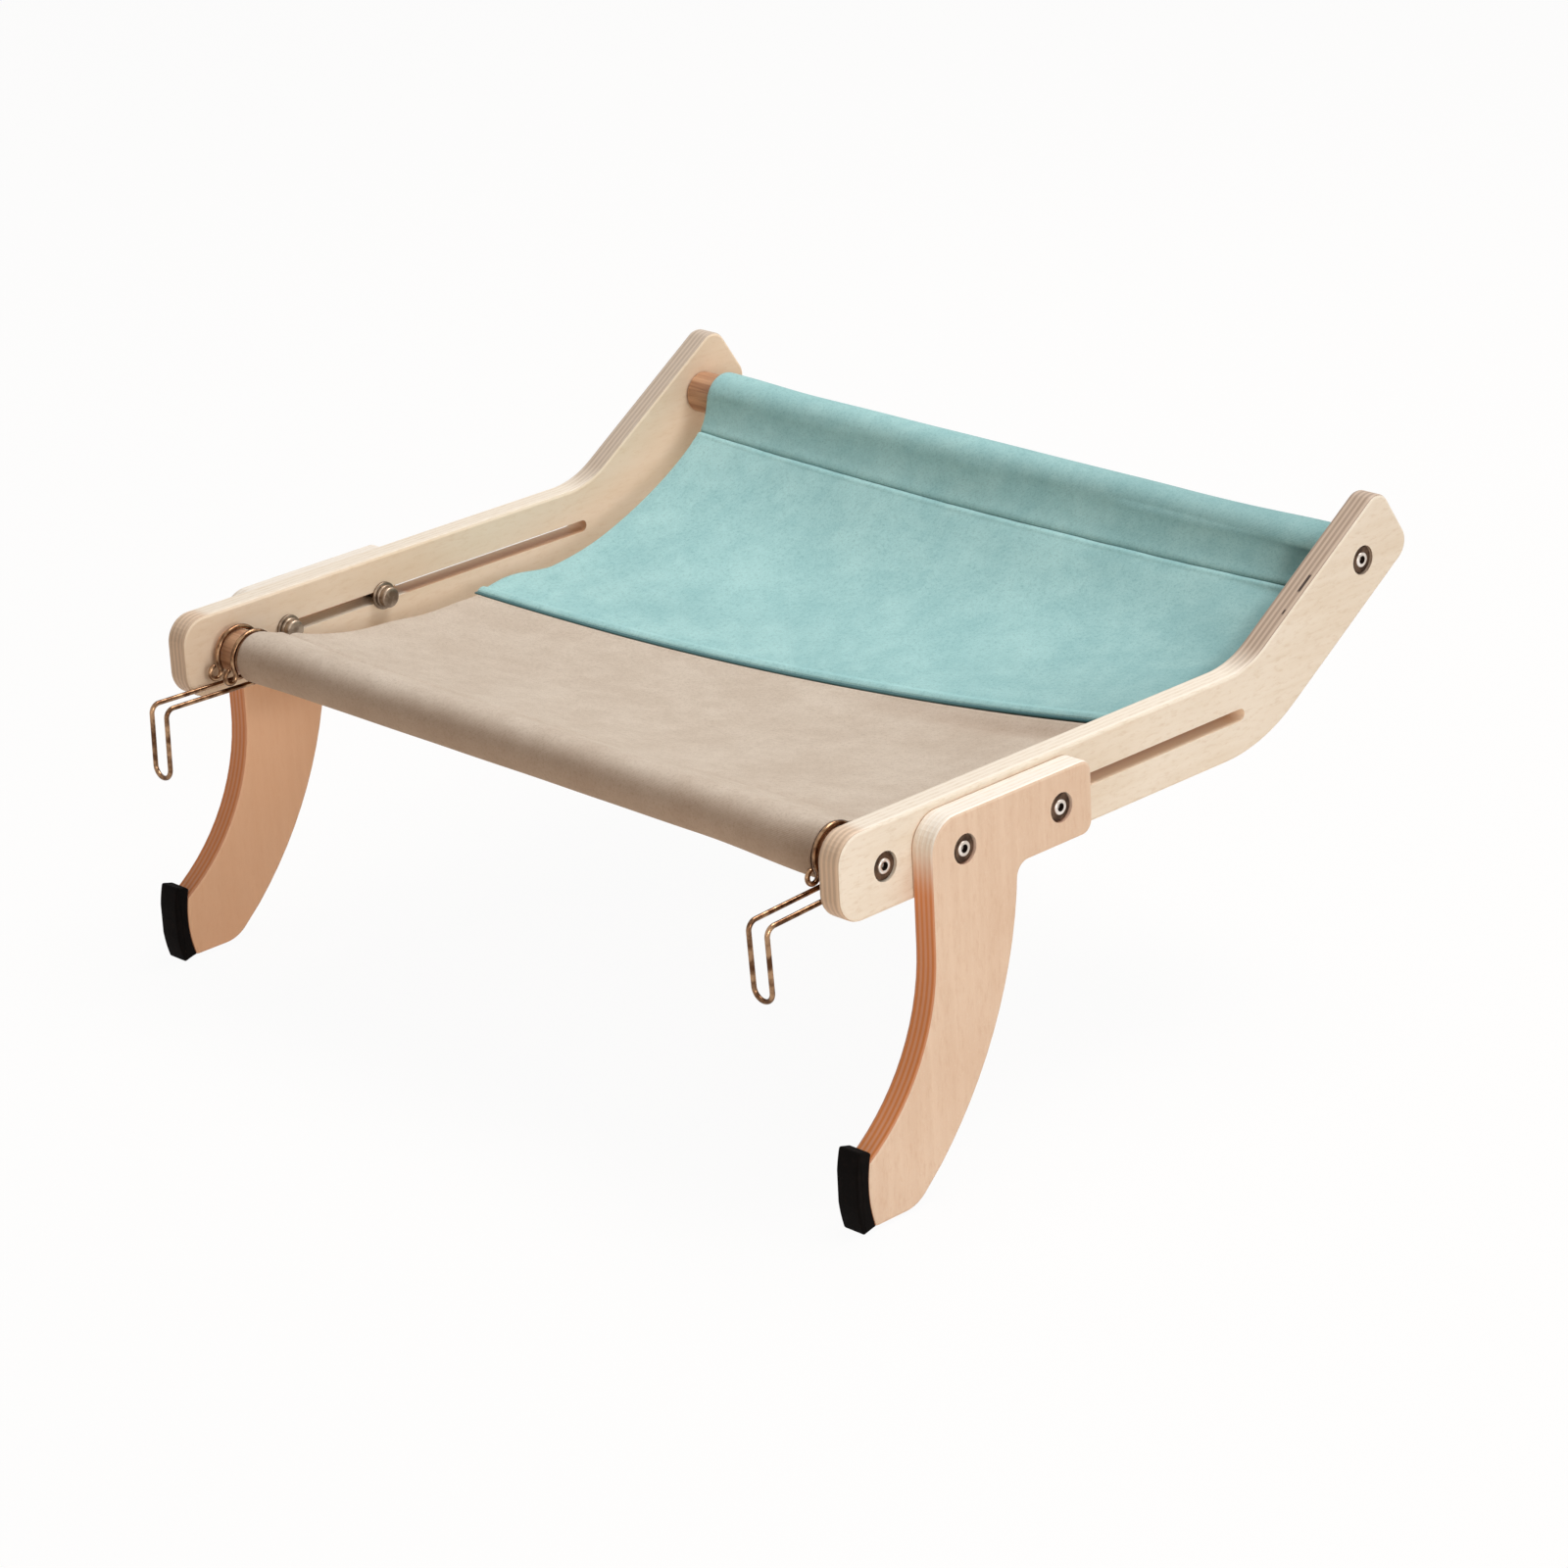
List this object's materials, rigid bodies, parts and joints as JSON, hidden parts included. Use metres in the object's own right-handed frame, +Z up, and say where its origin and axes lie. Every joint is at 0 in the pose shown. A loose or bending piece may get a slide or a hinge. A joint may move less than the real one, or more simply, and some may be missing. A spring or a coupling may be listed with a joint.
{
  "type": "cat window perch",
  "caption": "Sling perch on two bent slotted plywood sides with round rails, wire sill hooks at the front and curved legs whose pads bear on the wall below.",
  "frame": {"origin": "middle of the front rail's axis, which the two sill hooks hold up", "axes": "+X runs to the perch's right side panel, along the rails; -Y points to the window and wall, where the hooks and pads are; +Y runs back to the raised rear rail; +Z is up"},
  "size_m": [0.4546, 0.3848, 0.2232],
  "materials": {
    "birch_plywood": "clear satin lacquer on pale birch faces, fine layered edges",
    "leg_wood": "clear satin lacquer on warm beech-coloured plywood",
    "rail_wood": "reddish brown oiled round rod",
    "beige_canvas": "plain woven beige canvas, matt",
    "teal_canvas": "plain woven pale teal canvas, matt",
    "black_pad": "matt black soft pad",
    "bronze_steel": "dark bronzed steel fastener",
    "hook_wire": "polished bronze-coloured steel wire",
    "insert_brass": "plain brass, hidden"
  },
  "bodies": {
    "frame": {"front_dowel": "rail_wood", "rear_dowel": "rail_wood", "front_right_dowel_bolt": "bronze_steel", "front_left_dowel_bolt": "bronze_steel", "rear_right_dowel_bolt": "bronze_steel", "rear_left_dowel_bolt": "bronze_steel", "front_right_insert": "insert_brass", "front_left_insert": "insert_brass", "rear_right_insert": "insert_brass", "rear_left_insert": "insert_brass", "sling_front_cloth": "beige_canvas", "sling_rear_cloth": "teal_canvas", "right_side_panel": "birch_plywood", "left_side_panel": "birch_plywood"},
    "right_leg_unit": {"right_leg": "leg_wood", "right_wall_pad": "black_pad", "right_leg_front_bolt": "bronze_steel", "right_leg_rear_bolt": "bronze_steel", "right_leg_front_washer": "bronze_steel", "right_leg_rear_washer": "bronze_steel", "right_leg_front_nut": "bronze_steel", "right_leg_rear_nut": "bronze_steel"},
    "left_leg_unit": {"left_leg": "leg_wood", "left_wall_pad": "black_pad", "left_leg_front_bolt": "bronze_steel", "left_leg_rear_bolt": "bronze_steel", "left_leg_front_washer": "bronze_steel", "left_leg_rear_washer": "bronze_steel", "left_leg_front_nut": "bronze_steel", "left_leg_rear_nut": "bronze_steel"},
    "right_hook_unit": {"right_hook": "hook_wire"},
    "left_hook_unit": {"left_hook": "hook_wire"}
  },
  "joints": [
    {"name": "right_leg_slide", "type": "slide", "parent": "frame", "child": "right_leg_unit", "axis": [0, 1, 0], "range_m": [0, 0.126]},
    {"name": "left_leg_slide", "type": "slide", "parent": "frame", "child": "left_leg_unit", "axis": [0, 1, 0], "range_m": [0, 0.126]},
    {"name": "right_hook_swing", "type": "hinge", "parent": "frame", "child": "right_hook_unit", "pos_m": [0.191, 0, 0], "axis": [1, 0, 0], "range_deg": [-180, 135]},
    {"name": "left_hook_swing", "type": "hinge", "parent": "frame", "child": "left_hook_unit", "pos_m": [-0.191, 0, 0], "axis": [1, 0, 0], "range_deg": [-180, 135]}
  ]
}
